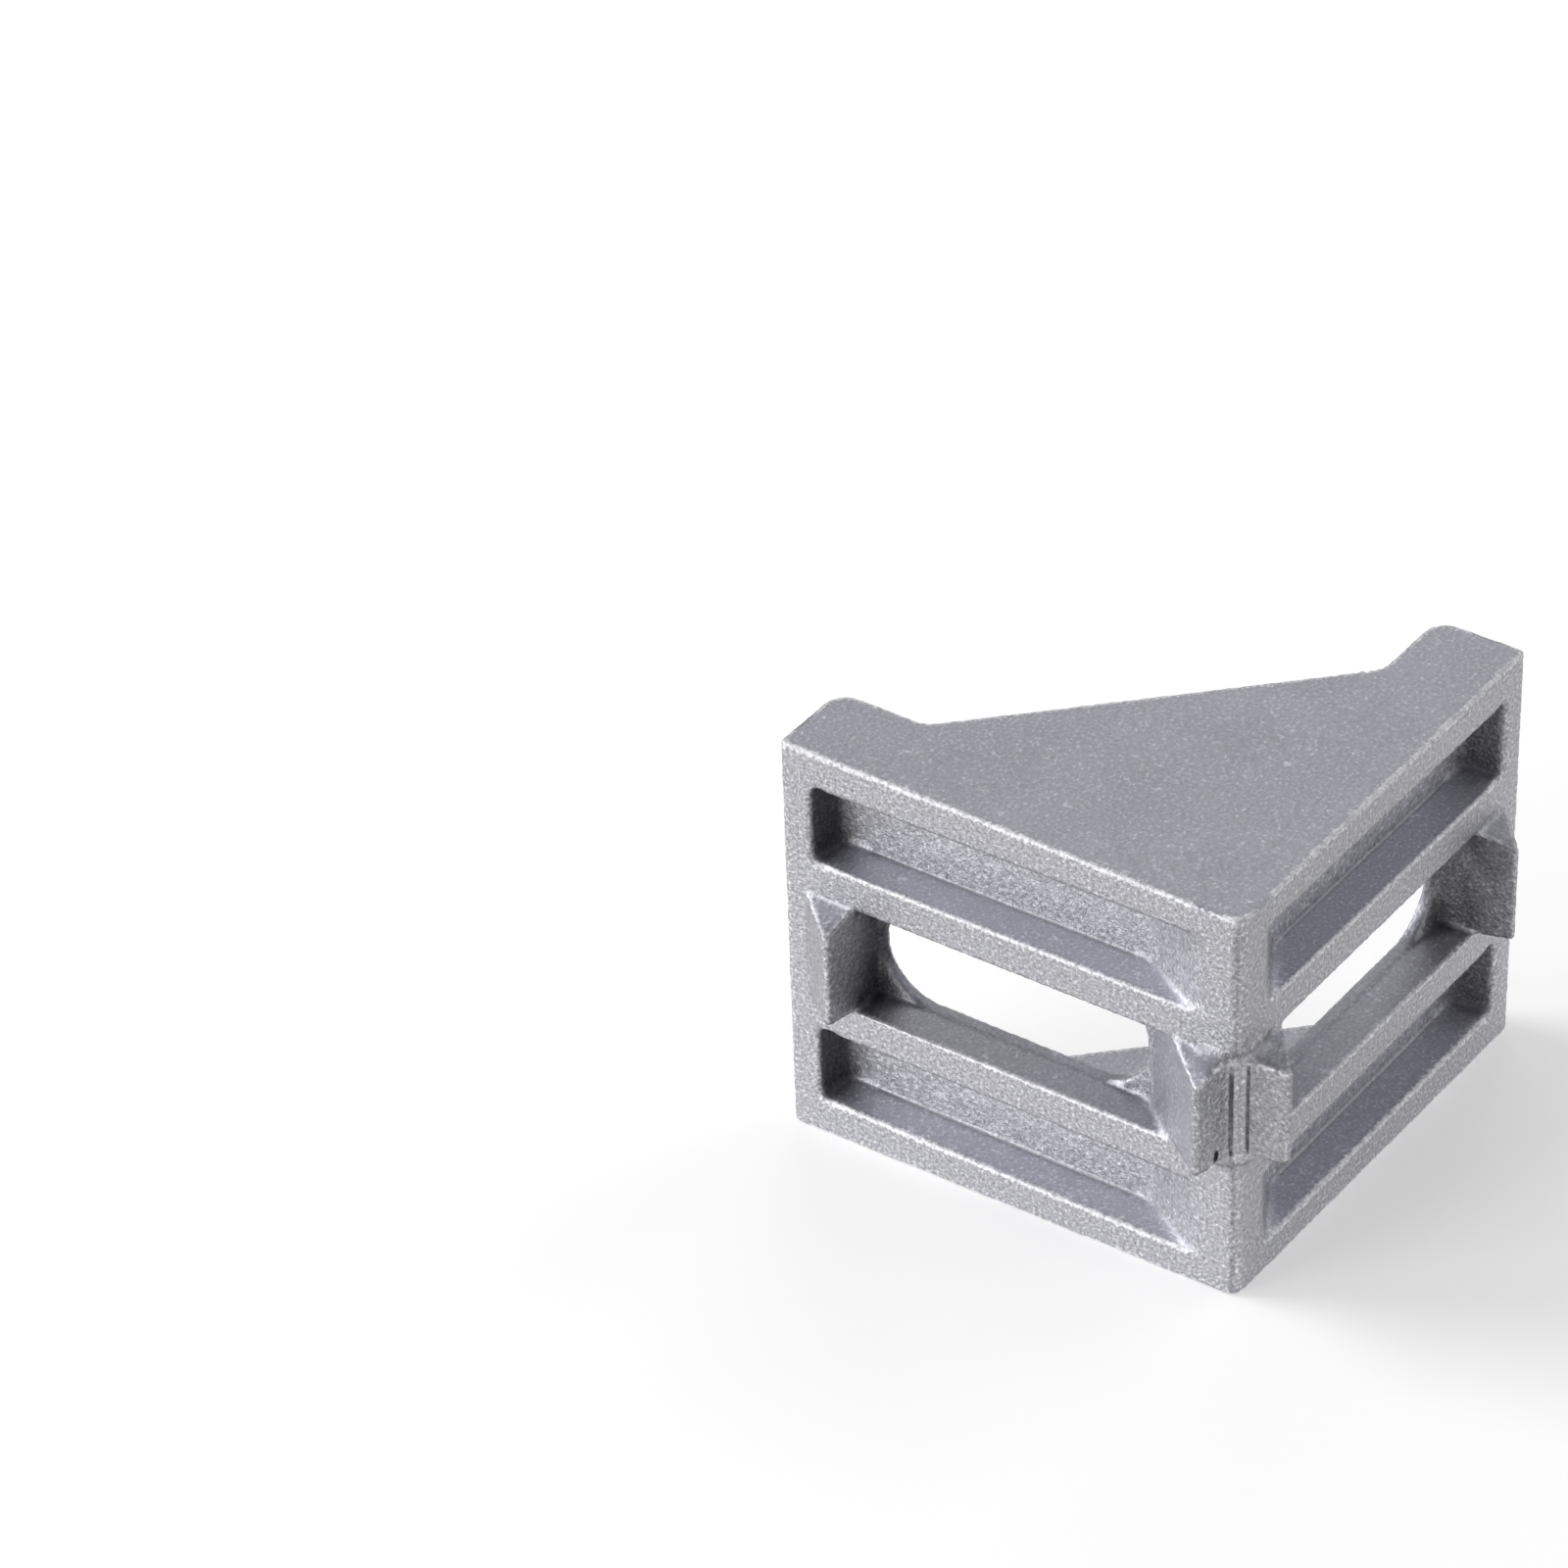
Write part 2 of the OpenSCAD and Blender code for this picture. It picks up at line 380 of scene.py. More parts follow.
class Studio(bpy.types.PropertyGroup):
    """Floor, lights and lens."""

    floor: bpy.props.FloatVectorProperty(
        name="Floor",
        description="Colour of the floor",
        default=(0.90, 0.90, 0.90), min=0, max=1, size=3, subtype="COLOR",
    )
    key_light: bpy.props.FloatProperty(
        name="Key light", description="Power of the light on the left",
        default=4.8, min=0, max=100, unit="POWER",
    )
    top_light: bpy.props.FloatProperty(
        name="Top light", description="Power of the high light at the back left",
        default=4.9, min=0, max=100, unit="POWER",
    )
    right_light: bpy.props.FloatProperty(
        name="Right light", description="Power of the low light on the right",
        default=0.9, min=0, max=100, unit="POWER",
    )
    back_light: bpy.props.FloatProperty(
        name="Back light", description="Power of the light behind, which the gusset reflects",
        default=0.85, min=0, max=100, unit="POWER",
    )
    rim_light: bpy.props.FloatProperty(
        name="Rim light", description="Power of the high light that the right leg's edges reflect",
        default=1.15, min=0, max=100, unit="POWER",
    )
    light_size: bpy.props.FloatProperty(
        name="Light size", description="Side of each square light",
        default=0.5, min=0.05, max=2, unit="LENGTH",
    )
    room: bpy.props.FloatProperty(
        name="Room light", description="Brightness of the pale room around the bracket",
        default=0.28, min=0, max=5,
    )
    floor_glow: bpy.props.FloatProperty(
        name="Floor glow", description="How much light the white floor gives of its own, as a lit table does",
        default=0.30, min=0, max=2,
    )
    lens: bpy.props.FloatProperty(
        name="Lens", description="Focal length on a 36 mm wide sensor, in mm",
        default=132.99, min=20, max=500,
    )


def only_select(obj):
    """Deselects everything, then selects obj and makes it the active object."""
    bpy.ops.object.select_all(action="DESELECT")
    obj.select_set(True)
    bpy.context.view_layer.objects.active = obj


def apply_modifier(obj, name, kind, **settings):
    """Adds one modifier with these settings to obj and applies it."""
    only_select(obj)
    modifier = obj.modifiers.new(name, kind)
    for key, value in settings.items():
        setattr(modifier, key, value)
    bpy.ops.object.modifier_apply(modifier=modifier.name)


def copy_of_node(name):
    """A merged copy of the CAD node's mesh, as a new object."""
    mesh = frame["nodes"][CAD_NODE].data.copy()
    mesh.materials.clear()
    obj = bpy.data.objects.new(name, mesh)
    bpy.context.scene.collection.objects.link(obj)
    only_select(obj)
    bpy.ops.object.mode_set(mode="EDIT")
    bpy.ops.mesh.select_all(action="SELECT")
    bpy.ops.mesh.remove_doubles(threshold=1e-7)
    bpy.ops.object.mode_set(mode="OBJECT")
    return obj


def smooth_step(low, high, values):
    """0 below low, 1 above high, and a soft step between."""
    t = np.clip((values - low) / (high - low), 0, 1)
    return t * t * (3 - 2 * t)


def bell(middle, width, values):
    """1 at the middle, falling softly to 0 on both sides."""
    return np.exp(-((values - middle) / width) ** 2)


# Each vertex's distance along a leg from the heel and its depth below the mounting face, with the shares
# that its normal has of both directions.
Leg = namedtuple("Leg", "along depth n_along n_depth")


class Skin:
    """A mesh's vertices as arrays, the edges between them, and where they lie on the bracket."""

    def __init__(self, mesh):
        self.count = len(mesh.vertices)
        points = np.empty(self.count * 3)
        mesh.vertices.foreach_get("co", points)
        self.points = points.reshape(-1, 3)
        normals = np.empty(self.count * 3)
        mesh.vertices.foreach_get("normal", normals)
        self.normals = normals.reshape(-1, 3)
        edges = np.empty(len(mesh.edges) * 2, int)
        mesh.edges.foreach_get("vertices", edges)
        self.a, self.b = edges.reshape(-1, 2).T
        at_a = np.bincount(self.a, minlength=self.count)
        at_b = np.bincount(self.b, minlength=self.count)
        self.valence = at_a + at_b
        self.up = self.normals[:, 2]
        self.height = np.abs(self.points[:, 2])
        self.at_key_ends = (self.height > KEY_END_LOW) & (self.height < KEY_END_HIGH)
        self.in_channel = self.height < CHANNEL_HALF + 0.2 * MM
        self.in_pocket = (self.height > POCKET_IN - 0.5 * MM) & (self.height < POCKET_OUT + 0.4 * MM)
        x, y, _ = self.points.T
        n_x, n_y, _ = self.normals.T
        self.legs = (Leg(y, x, n_y, n_x), Leg(x, y, n_x, n_y))

    def ring_mean(self, values):
        """For each vertex, the mean of its neighbours' values."""
        from_b = np.bincount(self.a, values[self.b], self.count)
        from_a = np.bincount(self.b, values[self.a], self.count)
        return (from_b + from_a) / np.maximum(self.valence, 1)

    def convexity(self, grid, blur=3):
        """How far each vertex stands out of (above 0) or lies in (below 0) the ring of its neighbours."""
        middle = np.stack([self.ring_mean(self.points[:, i]) for i in range(3)], axis=1)
        out = ((self.points - middle) * self.normals).sum(axis=1) / grid
        for _ in range(blur):
            out = 0.5 * out + 0.5 * self.ring_mean(out)
        return out

    def near(self, marked, rings):
        """1 on the marked vertices and close to them, falling to 0 this many rings of neighbours away."""
        nearness = marked.astype(float)
        reached = marked.copy()
        for ring in range(1, rings):
            grown = reached.copy()
            grown[self.a[reached[self.b]]] = True
            grown[self.b[reached[self.a]]] = True
            nearness[grown & ~reached] = min(1.0, 1.6 * (1 - ring / rings))
            reached = grown
        return nearness

    def smooth_slope(self):
        """1 on the smooth slopes that run from the channels up the heel keys."""
        slope = np.zeros(self.count)
        for leg in self.legs:
            slope += smooth_step(0.3, 0.5, leg.n_along) * self.in_channel * (leg.along < SLOPE_END)
        return np.clip(slope, 0, 1)


def write_attribute(mesh, name, values):
    """Stores one number for each vertex under this name."""
    attribute = mesh.attributes.new(name, "FLOAT", "POINT")
    attribute.data.foreach_set("value", values.astype(np.float32))


def rings_for(radius, grid, reach=1.6):
    """How many rings of neighbours a rounding of this radius takes on each side of its edge."""
    return round(reach * radius / grid)


def round_off(obj, name, weight, radius, grid):
    """Rounds the skin to about this radius where the weight is above 0, and leaves the rest."""
    group = obj.vertex_groups.new(name=name)
    for level in range(1, WEIGHT_LEVELS + 1):
        members = np.flatnonzero(np.ceil(weight * WEIGHT_LEVELS) == level)
        group.add(members.tolist(), level / WEIGHT_LEVELS, "REPLACE")
    steps = max(1, round(STEPS_FOR_ONE * (radius / grid) ** 2))
    apply_modifier(obj, name, "SMOOTH", factor=0.5, iterations=steps, vertex_group=group.name)
    obj.vertex_groups.clear()


def round_hollows(obj, shape):
    """Rounds the hollows' inner corners at the heel and at the tips, and the pockets' lips at the tips."""
    skin = Skin(obj.data)
    height = skin.height
    out = skin.convexity(shape.grid)
    ramp_rings = rings_for(shape.ramp_fillet, shape.grid)
    end_rings = rings_for(shape.end_fillet, shape.grid, reach=1.8)
    lip_rings = rings_for(shape.end_lip, shape.grid)
    at_ramps = np.zeros(skin.count)
    at_ends = np.zeros(skin.count)
    at_lips = np.zeros(skin.count)
    for leg in skin.legs:
        hollow = (leg.depth > 0.1 * MM) & (leg.depth < HOLLOW_DEPTH) & (height < POCKET_OUT + 0.2 * MM)
        crease = hollow & (out < IN_CREASE)
        below_face = smooth_step(0.0, 0.4 * MM, leg.depth) * hollow
        fade = 1 - smooth_step(RAMP_FADE, RAMP_END, leg.along)
        ramp = skin.near(crease & (leg.along < RAMP_END), ramp_rings) * below_face * fade
        at_ramps = np.maximum(at_ramps, ramp)
        past_end = leg.along - np.where(skin.in_channel, CHANNEL_END, POCKET_END)
        by_end = (past_end > -2 * MM) & (past_end < 1 * MM)
        at_ends = np.maximum(at_ends, skin.near(crease & by_end, end_rings) * below_face)
        lip = (out > ON_LIP) & (np.abs(leg.depth) < 0.3 * MM) & (np.abs(leg.along - POCKET_END) < 1 * MM)
        lip &= (height > POCKET_IN - 0.1 * MM) & (height < POCKET_OUT)
        at_lips = np.maximum(at_lips, skin.near(lip, lip_rings))
    round_off(obj, "ramp_fillets", at_ramps, shape.ramp_fillet, shape.grid)
    round_off(obj, "end_fillets", at_ends, shape.end_fillet, shape.grid)
    round_off(obj, "end_lips", at_lips, shape.end_lip, shape.grid)


def round_edges(obj, shape):
    """Rounds the outer edges, less at the keys' ends and not at all on the strip between the heel keys."""
    skin = Skin(obj.data)
    edge = skin.convexity(shape.grid) > ON_EDGE
    weight = skin.near(edge, max(2, rings_for(shape.edge_round, shape.grid)))
    x, y, _ = skin.points.T
    strip = (np.minimum(x, y) > STRIP_LOW) & (np.maximum(x, y) < STRIP_HIGH) & (skin.height < KEY_HALF)
    weight[strip] = 0
    for leg in skin.legs:
        weight[skin.at_key_ends & (leg.depth < 0.2 * MM)] *= KEY_END_ROUNDING
    round_off(obj, "outer_edges", weight, shape.edge_round, shape.grid)


def hollow_painted_light(skin, leg, finish, end_painted_shade):
    """How bright one leg's hollows are: painted shade at their tip ends, painted light on the pockets' lower
    walls and floors, and painted shade on the channel's lower wall.
    """
    inside = smooth_step(0.0, 0.6 * MM, leg.depth) * (leg.depth < 4 * MM) * (skin.in_channel | skin.in_pocket)
    # Painted shade towards the hollows' tip ends.
    to_end = np.where(skin.in_channel, CHANNEL_END, POCKET_END) - leg.along
    shade = (1 - smooth_step(0.3 * MM, 1.6 * MM, to_end)) * inside * (to_end > -1 * MM)
    tone = 1 - (1 - end_painted_shade) * shade
    # Painted light on the pockets' lower walls, painted shade on the channel's lower wall.
    wall = smooth_step(0.6, 0.85, skin.up) * inside * (1 - smooth_step(0.1, 0.4, leg.n_along))
    wall_tone = np.where(skin.in_channel, finish.channel_wall_painted_shade, finish.pocket_wall_painted_light)
    tone *= 1 + wall * (wall_tone - 1)
    # Painted light on the pockets' floors.
    floor = smooth_step(0.8, 0.95, -leg.n_depth) * inside * skin.in_pocket
    return tone * (1 + (finish.pocket_floor_painted_light - 1) * floor)


def key_tone(skin, leg, finish, wall_tone, top_tone):
    """How bright one leg's keys are: darker faces, painted shade along the roots and at the foot of the tip
    key's wall over the channel, and painted light on the heel key's top.
    """
    height = skin.height
    # Painted shade at the foot of the tip key's wall over the channel.
    wall = smooth_step(0.6, 0.85, -leg.n_along) * (height < KEY_WALL_HALF) * (leg.depth < 0.6 * MM)
    wall *= leg.along > TIP_KEYS_FROM
    foot = smooth_step(-3.2 * MM, 0.6 * MM, leg.depth)
    tone = 1 - wall * (1 - wall_tone) * (0.4 + 0.6 * foot)
    # Painted light on the heel key's upper end.
    top = smooth_step(0.3, 0.6, skin.up) * (height > 3.4 * MM) * (1 - smooth_step(4.2 * MM, 4.8 * MM, height))
    top *= (leg.along < SLOPE_END) * (leg.depth < 0.1 * MM) * (leg.n_along < 0.3) * (leg.n_depth < -0.1)
    face = smooth_step(0.1 * MM, 0.4 * MM, -leg.depth) * (height < KEY_HALF)
    face *= 1 - smooth_step(0.3, 0.5, leg.n_along) * (leg.along < SLOPE_END)
    tone *= 1 - (1 - finish.key_tone) * face * (1 - wall) * (1 - top)
    tone *= 1 + (top_tone - 1) * top
    # Painted shade: a line along the heel key's root.
    root = bell(ROOT_LINE, 0.2 * MM, height) * (leg.along < ROOT_LINE_END) * (np.abs(leg.depth) < 0.4 * MM)
    return tone * (1 - finish.root_shade * root)


def heel_painted_shade(skin, finish):
    """How bright the rounded heel is above and below the keys: darker along one line of painted shade."""
    x, y, _ = skin.points.T
    at_heel = (np.maximum(x, y) < HEEL_REACH) & (skin.height > KEY_WALL_HALF) & (np.abs(skin.up) < 0.5)
    return 1 - finish.heel_shade * at_heel * bell(0.52, 0.2, -skin.normals[:, 1])


def groove_painted_shade(skin, finish):
    """Painted shade in the relief grooves: dark and a little uneven."""
    groove = np.zeros(skin.count)
    for leg, line in zip(skin.legs, GROOVE_LINES):
        inside = skin.height < GROOVE_HALF
        for values, (start, end) in zip((leg.along, leg.depth), line):
            inside = inside * smooth_step(start, start + GROOVE_FADE, values) * (values < end)
        groove = np.maximum(groove, inside)
    found = np.flatnonzero(groove)
    uneven = np.array([noise.noise(Vector(p / (0.5 * MM))) for p in skin.points[found]])
    groove[found] = np.clip(groove[found] * (0.85 + 0.6 * uneven), 0, 1)
    return 1 - finish.groove_shade * groove


def painted_light_and_shade(skin, finish):
    """The painted light and shade at each vertex, as a factor of the metal's own brightness."""
    tone = heel_painted_shade(skin, finish) * groove_painted_shade(skin, finish)
    side_tones = (
        (finish.end_wall_painted_shade, finish.key_wall_painted_shade, finish.key_top_painted_light),
        (finish.other_end_wall_painted_shade, finish.other_key_wall_painted_shade, finish.other_key_top_painted_light),
    )
    for leg, (end_painted_shade, wall_tone, top_tone) in zip(skin.legs, side_tones):
        tone *= hollow_painted_light(skin, leg, finish, end_painted_shade)
        tone *= key_tone(skin, leg, finish, wall_tone, top_tone)
    # Painted light: upright faces brighter at the bottom, darker at the top.
    upright = 1 - smooth_step(0.4, 0.8, np.abs(skin.up))
    return tone * (1 - finish.lower_painted_light * upright * skin.points[:, 2] / CAD_HIGH.z)


def ripple_edges(mesh, skin, edge, shape):
    """Makes the worn edges waver in and out, most where the gusset's edge is chipped."""
    wave = np.zeros(skin.count)
    for i in np.flatnonzero(edge > LEAST_EDGE):
        wave[i] = noise.noise(Vector(skin.points[i] / shape.ripple_size))
    chips = np.exp(-(((skin.points - np.array(CHIPPED)) / CHIPPED_REACH) ** 2).sum(axis=1))
    shift = wave * edge * shape.edge_ripple * (1 + CHIPPED_GAIN * chips)
    moved = skin.points + skin.normals * shift[:, None]
    mesh.vertices.foreach_set("co", moved.ravel())
    mesh.update()


def wear_and_highlight_share(skin, under_lip):
    """How much of an edge's wear and painted highlight each vertex shows: most where it faces up, less on the
    right side and where hands and blasting don't reach.
    """
    shielded = np.zeros(skin.count)
    for leg in skin.legs:
        deep = smooth_step(1.2 * MM, 2.4 * MM, leg.depth) * (leg.depth < 4.2 * MM)
        by_key = (skin.height < 5.6 * MM) & (leg.along < 5 * MM)
        by_key &= (leg.depth > -2.4 * MM) & (leg.depth < 1 * MM)
        shielded = np.maximum(shielded, np.maximum(deep, KEY_SHIELD * by_key))
    inward = smooth_step(0.15, 0.45, np.maximum(skin.normals[:, 0], skin.normals[:, 1]))
    right_side = smooth_step(0.25, 0.6, -skin.normals[:, 1])
    # Painted highlight: edges that face up get the most of it, edges that face down the least.
    polished = 0.3 + 0.7 * smooth_step(-0.15, 0.35, skin.up)
    for less in (under_lip, shielded, INWARD_SHIELD * inward, RIGHT_SIDE_DIMMING * right_side):
        polished *= 1 - less
    return polished


def painted_shade_share(skin, out, under_lip):
    """How much painted shade each vertex gets: most in the inner corners and under the lips, more where the
    skin faces down, less at the keys' ends.
    """
    above_face = np.minimum(skin.legs[0].depth, skin.legs[1].depth) < 0.3 * MM
    creased = smooth_step(0.015, 0.07, -out) * (1 - KEY_END_SHADE_CUT * (skin.at_key_ends & above_face))
    creased *= np.maximum(LEAST_CREASE_SHADE, smooth_step(0.0, 0.3, -skin.up))
    return np.clip(np.maximum(creased, LIP_SHADE * under_lip), 0, 1)


def wear_skin(obj, shape, finish):
    """Makes the worn edges waver, and marks as attributes the skin's wear with its painted highlight, its
    painted shade in corners, its coarseness and its painted light and shade by place.
    """
    mesh = obj.data
    skin = Skin(mesh)
    out = skin.convexity(shape.grid)
    edge = smooth_step(0.006, 0.035, out)
    ripple_edges(mesh, skin, edge, shape)
    # Under the lips: painted shade goes there, and the edges' highlight is kept off.
    under_lip = skin.near((out > 0.03) & (skin.up < -0.2) & (skin.height < POCKET_OUT + 1 * MM), 2)
    coarse = smooth_step(0.25, 0.75, 1 - np.abs(skin.up)) * (1 - 0.8 * skin.smooth_slope())
    # The edges' wear, with a painted highlight mostly where they face up.
    write_attribute(mesh, "worn", edge * wear_and_highlight_share(skin, under_lip))
    write_attribute(mesh, "dull", painted_shade_share(skin, out, under_lip))
    write_attribute(mesh, "coarse", coarse)
    # Painted light and shade by place, in the tone attribute.
    write_attribute(mesh, "tone", painted_light_and_shade(skin, finish))


def keep_in_box(obj):
    """Moves the few vertices that stand out of the CAD node's box back onto it."""
    skin = Skin(obj.data)
    inside = np.clip(skin.points, np.array(CAD_LOW), np.array(CAD_HIGH))
    obj.data.vertices.foreach_set("co", inside.ravel())
    obj.data.update()


def add_node(tree, kind, place, **settings):
    """Adds a shader node at this place in the tree."""
    node = tree.nodes.new(kind)
    node.location = place
    for key, value in settings.items():
        setattr(node, key, value)
    return node


def feed(tree, value, socket):
    """Gives a node's socket its value: another node's socket, or a plain number, vector or colour."""
    if isinstance(value, bpy.types.NodeSocket):
        tree.links.new(value, socket)
    else:
        socket.default_value = value


def blend_colours(tree, place, factor, a, b):
    """Blends a into b by the factor's socket. Each of a and b is a socket or a colour with alpha."""
    node = add_node(tree, "ShaderNodeMix", place, data_type="RGBA")
    for name, value in (("Factor", factor), ("A", a), ("B", b)):
        feed(tree, value, node.inputs[name])
    return node.outputs["Result"]


def map_range(tree, place, value, low, high, to_low, to_high):
    """Maps a socket's value from low..high to to_low..to_high, and holds it there."""
    node = add_node(tree, "ShaderNodeMapRange", place)
    names = ("Value", "From Min", "From Max", "To Min", "To Max")
    for name, number in zip(names, (value, low, high, to_low, to_high)):
        feed(tree, number, node.inputs[name])
    return node.outputs["Result"]


def combine(tree, place, operation, a, b):
    """One sum, difference or product of two values, each a socket or a number."""
    node = add_node(tree, "ShaderNodeMath", place, operation=operation)
    feed(tree, a, node.inputs[0])
    feed(tree, b, node.inputs[1])
    return node.outputs["Value"]


def combine_vectors(tree, place, operation, a, b):
    """One difference or quotient of two vectors, each a socket or three numbers."""
    node = add_node(tree, "ShaderNodeVectorMath", place, operation=operation)
    feed(tree, a, node.inputs[0])
    feed(tree, b, node.inputs[1])
    return node.outputs["Vector"]


def noise_texture(tree, place, where, size, detail, roughness):
    """Noise of this size, on the piece's own coordinates."""
    node = add_node(tree, "ShaderNodeTexNoise", place)
    node.inputs["Scale"].default_value = 1 / size
    node.inputs["Detail"].default_value = detail
    node.inputs["Roughness"].default_value = roughness
    feed(tree, where, node.inputs["Vector"])
    return node.outputs["Fac"]


def attribute(tree, place, name):
    """One of the numbers that the skin carries."""
    return add_node(tree, "ShaderNodeAttribute", place, attribute_name=name).outputs["Fac"]


def rubbed_and_highlit_edges(tree, where, finish, grain):
    """How much of the edges' wear and painted highlight shows: ragged with the grain and broken by small
    chips.
    """
    chips = noise_texture(tree, (-1100, -550), where, 2.2 * finish.grain_size, 3, 0.6)
    worn = attribute(tree, (-1100, 900), "worn")
    off_mean = combine(tree, (-1000, 1250), "SUBTRACT", grain, 0.5)
    ragged = combine(tree, (-850, 1150), "MULTIPLY", off_mean, 2.4)
    frayed = combine(tree, (-700, 1100), "ADD", worn, ragged)
    bright = map_range(tree, (-600, 1100), frayed, 0.15, 0.85, 0.0, 1.0)
    broken = map_range(tree, (-850, 1000), chips, 0.35, 0.55, 0.45, 1.0)
    return combine(tree, (-500, 950), "MULTIPLY", bright, broken)


def metal_colour(tree, finish, coarse, rubbed_and_highlit):
    """The metal's colour: blasted or smoother metal, bright on the worn edges with their painted highlight,
    and darkened by painted shade in the corners.
    """
    side_metal, metal, worn, crease = (
        (*colour, 1) for colour in (finish.side_metal, finish.metal, finish.worn, finish.crease))
    dull = attribute(tree, (-1100, 700), "dull")
    faces = blend_colours(tree, (-650, 600), coarse, side_metal, metal)
    edges = blend_colours(tree, (-400, 700), rubbed_and_highlit, faces, worn)
    return blend_colours(tree, (-150, 700), dull, edges, crease)


def metal_speckle(tree, where, finish, coarse, grain):
    """How bright the metal is from dimple to dimple, with bright nicks on the smoother faces."""
    contrast = map_range(tree, (-850, 100), coarse, 0.0, 1.0, 0.42 * finish.speckle, finish.speckle)
    off_mean = combine(tree, (-850, -200), "SUBTRACT", grain, 0.5)
    swing = combine(tree, (-650, -100), "MULTIPLY", off_mean, contrast)
    nick_noise = noise_texture(tree, (-1100, -800), where, finish.nick_size, 2, 0.6)
    nicks = map_range(tree, (-650, 0), nick_noise, 0.66, 0.72, 0.0, 0.35)
    smoother = map_range(tree, (-650, 150), coarse, 0.0, 0.5, 1.0, 0.0)
    marks = combine(tree, (-400, 150), "MULTIPLY", nicks, smoother)
    both = combine(tree, (-500, -50), "ADD", swing, marks)
    return combine(tree, (-400, 0), "ADD", both, 1.0)


def pore_painted_shade(tree, where):
    """Painted shade: dark inside the pore, and 1 outside it."""
    from_pore = combine_vectors(tree, (-1100, 1300), "SUBTRACT", where, PORE)
    in_halves = combine_vectors(tree, (-900, 1400), "DIVIDE", from_pore, PORE_HALF)
    how_far = add_node(tree, "ShaderNodeVectorMath", (-700, 1400), operation="LENGTH")
    feed(tree, in_halves, how_far.inputs[0])
    return map_range(tree, (-500, 1300), how_far.outputs["Value"], 0.75, 1.1, 0.03, 1.0)


def metal_roughness(tree, where, finish, rubbed_and_highlit):
    """The metal's roughness, a little patchy, with its own value on the worn edges."""
    patches = noise_texture(tree, (-1100, -50), where, 18 * finish.grain_size, 4, 0.5)
    low, high = finish.roughness - 0.03, finish.roughness + 0.03
    uneven = map_range(tree, (-150, -150), patches, 0.3, 0.7, low, high)
    change = combine(tree, (-150, -350), "MULTIPLY", rubbed_and_highlit, finish.worn_roughness - finish.roughness)
    return combine(tree, (100, -200), "ADD", uneven, change)


def blasted_aluminium(finish):
    """Blasted cast aluminium: grainy faces, smoother sides, polished edges with a painted highlight, painted
    shade in the inner corners, and painted light and shade by place.
    """
    material = bpy.data.materials.new("blasted_aluminium")
    material.use_nodes = True
    tree = material.node_tree
    tree.nodes.clear()
    output = add_node(tree, "ShaderNodeOutputMaterial", (1100, 0))
    shader = add_node(tree, "ShaderNodeBsdfPrincipled", (800, 0))
    feed(tree, shader.outputs["BSDF"], output.inputs["Surface"])
    where = add_node(tree, "ShaderNodeTexCoord", (-1400, 0)).outputs["Object"]
    grain = noise_texture(tree, (-1100, -300), where, finish.grain_size, 2, 0.7)
    coarse = attribute(tree, (-1100, 500), "coarse")
    rubbed_and_highlit = rubbed_and_highlit_edges(tree, where, finish, grain)

    # The skin's painted light and shade, with the pore's painted shade.
    skin_light_and_shade = attribute(tree, (-1100, 300), "tone")
    tone = combine(tree, (-300, 250), "MULTIPLY", skin_light_and_shade, pore_painted_shade(tree, where))
    speckle = metal_speckle(tree, where, finish, coarse, grain)
    colour = add_node(tree, "ShaderNodeVectorMath", (100, 400), operation="SCALE")
    feed(tree, metal_colour(tree, finish, coarse, rubbed_and_highlit), colour.inputs[0])
    feed(tree, combine(tree, (-150, 150), "MULTIPLY", tone, speckle), colour.inputs["Scale"])

    bump = add_node(tree, "ShaderNodeBump", (500, -400))
    feed(tree, finish.grain_depth, bump.inputs["Distance"])
    feed(tree, map_range(tree, (100, -450), coarse, 0.0, 1.0, 0.35, 1.0), bump.inputs["Strength"])
    feed(tree, grain, bump.inputs["Height"])

    feed(tree, colour.outputs["Vector"], shader.inputs["Base Color"])
    feed(tree, 1.0, shader.inputs["Metallic"])
    feed(tree, metal_roughness(tree, where, finish, rubbed_and_highlit), shader.inputs["Roughness"])
    feed(tree, bump.outputs["Normal"], shader.inputs["Normal"])
    return material


class BRACKET_OT_casting(bpy.types.Operator):
    """Make the cast bracket from the CAD node, with soft worn edges and a blasted skin"""

    bl_idname = "bracket.casting"
    bl_label = "Cast bracket"

    def execute(self, context):
        shape = context.scene.bracket_shape
        finish = context.scene.bracket_finish
        piece = copy_of_node(PIECE)
        apply_modifier(piece, "Skin", "REMESH", mode="VOXEL", voxel_size=shape.grid,
                       adaptivity=0.0, use_smooth_shade=True)
        apply_modifier(piece, "Even skin", "SMOOTH", factor=0.5, iterations=1)
        round_hollows(piece, shape)
        round_edges(piece, shape)
        wear_skin(piece, shape, finish)
        triangles = sum(len(p.vertices) - 2 for p in piece.data.polygons)
        apply_modifier(piece, "Thinning", "DECIMATE", decimate_type="COLLAPSE",
                       ratio=min(1.0, shape.triangles / triangles), use_collapse_triangulate=True)
        keep_in_box(piece)
        only_select(piece)
        bpy.ops.object.shade_smooth()
        apply_modifier(piece, "Flat faces", "WEIGHTED_NORMAL", mode="FACE_AREA", weight=50)
        piece.data.materials.append(blasted_aluminium(finish))
        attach(piece, BODY)
        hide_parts(CAD_NODE)
        return {"FINISHED"}


